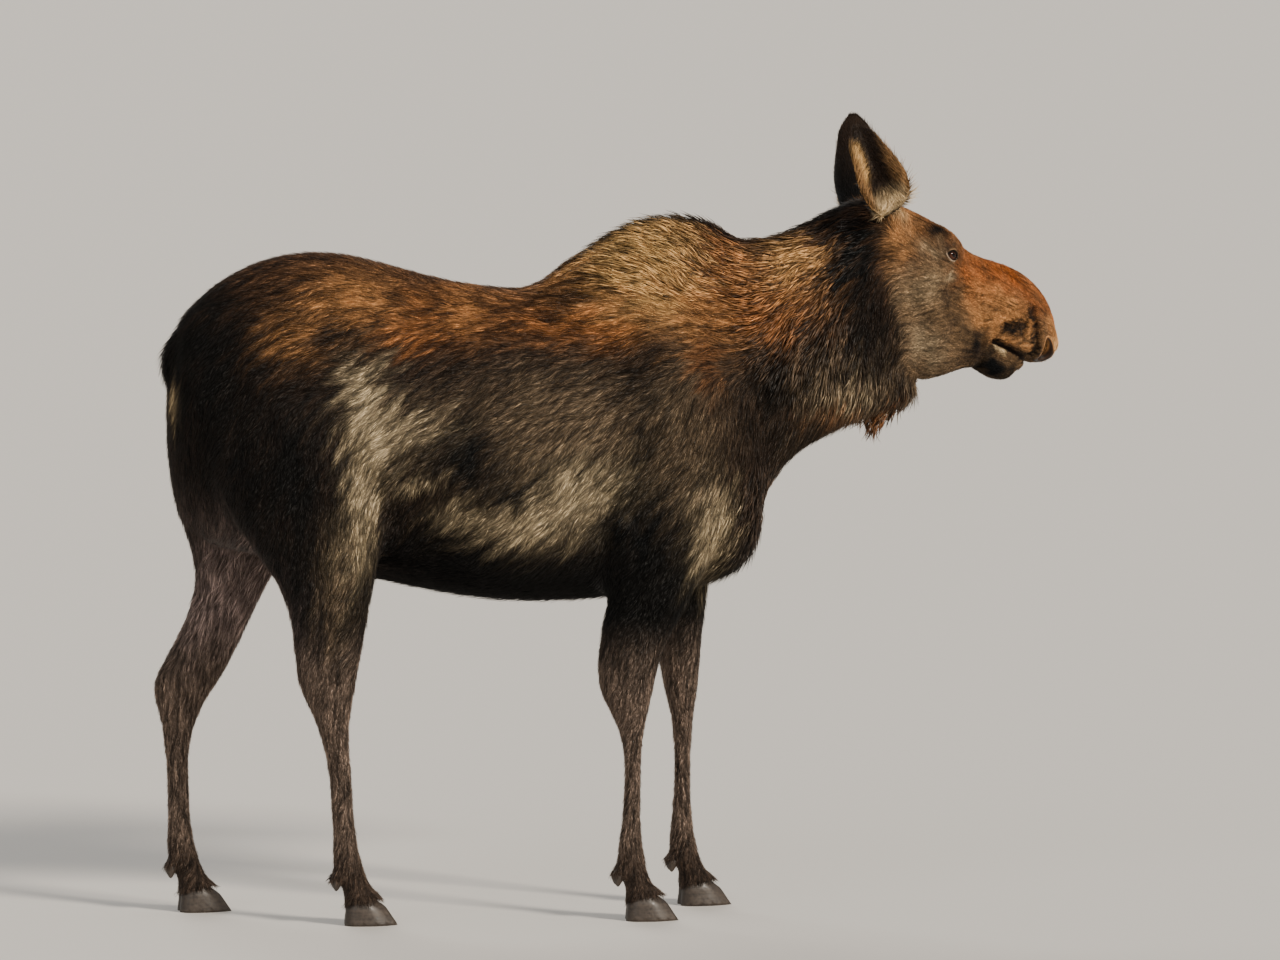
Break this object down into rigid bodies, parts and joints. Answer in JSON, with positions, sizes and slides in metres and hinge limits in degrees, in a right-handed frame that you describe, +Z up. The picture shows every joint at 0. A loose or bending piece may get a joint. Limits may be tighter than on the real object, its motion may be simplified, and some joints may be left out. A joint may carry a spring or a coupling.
{
  "type": "moose",
  "caption": "Life-size still model of an antlerless cow moose standing on four cloven hooves, long nose lowered, head turned a little to its left, with a small bell under the throat.",
  "frame": {"origin": "on the floor, under the middle of the animal's box", "axes": "+X towards the head along the trunk, +Y to the animal's left, +Z up"},
  "size_m": [2.2676, 0.5977, 1.9575],
  "materials": {
    "coat_dark": "blackish brown hair",
    "coat_back": "grizzled brown hair",
    "coat_face": "short rufous brown hair",
    "coat_shank": "short grey brown hair",
    "horn": "worn dark hoof horn",
    "eye": "wet dark brown"
  },
  "bodies": {
    "root": {"trunk": "coat_back", "neck": "coat_back", "bell": "coat_back", "head": "coat_face", "lower_jaw": "coat_face", "ear_left": "coat_dark", "ear_right": "coat_dark", "tail": "coat_dark", "eye_left": "eye", "eye_right": "eye", "foreleg_left_upper": "coat_dark", "foreleg_left_lower": "coat_shank", "foreleg_left_claw_inner": "horn", "foreleg_left_dewclaw_inner": "coat_dark", "foreleg_left_claw_outer": "horn", "foreleg_left_dewclaw_outer": "coat_dark", "foreleg_right_upper": "coat_dark", "foreleg_right_lower": "coat_shank", "foreleg_right_claw_inner": "horn", "foreleg_right_dewclaw_inner": "coat_dark", "foreleg_right_claw_outer": "horn", "foreleg_right_dewclaw_outer": "coat_dark", "hindleg_left_upper": "coat_dark", "hindleg_left_lower": "coat_shank", "hindleg_left_claw_inner": "horn", "hindleg_left_dewclaw_inner": "coat_dark", "hindleg_left_claw_outer": "horn", "hindleg_left_dewclaw_outer": "coat_dark", "hindleg_right_upper": "coat_dark", "hindleg_right_lower": "coat_shank", "hindleg_right_claw_inner": "horn", "hindleg_right_dewclaw_inner": "coat_dark", "hindleg_right_claw_outer": "horn", "hindleg_right_dewclaw_outer": "coat_dark"}
  },
  "joints": []
}
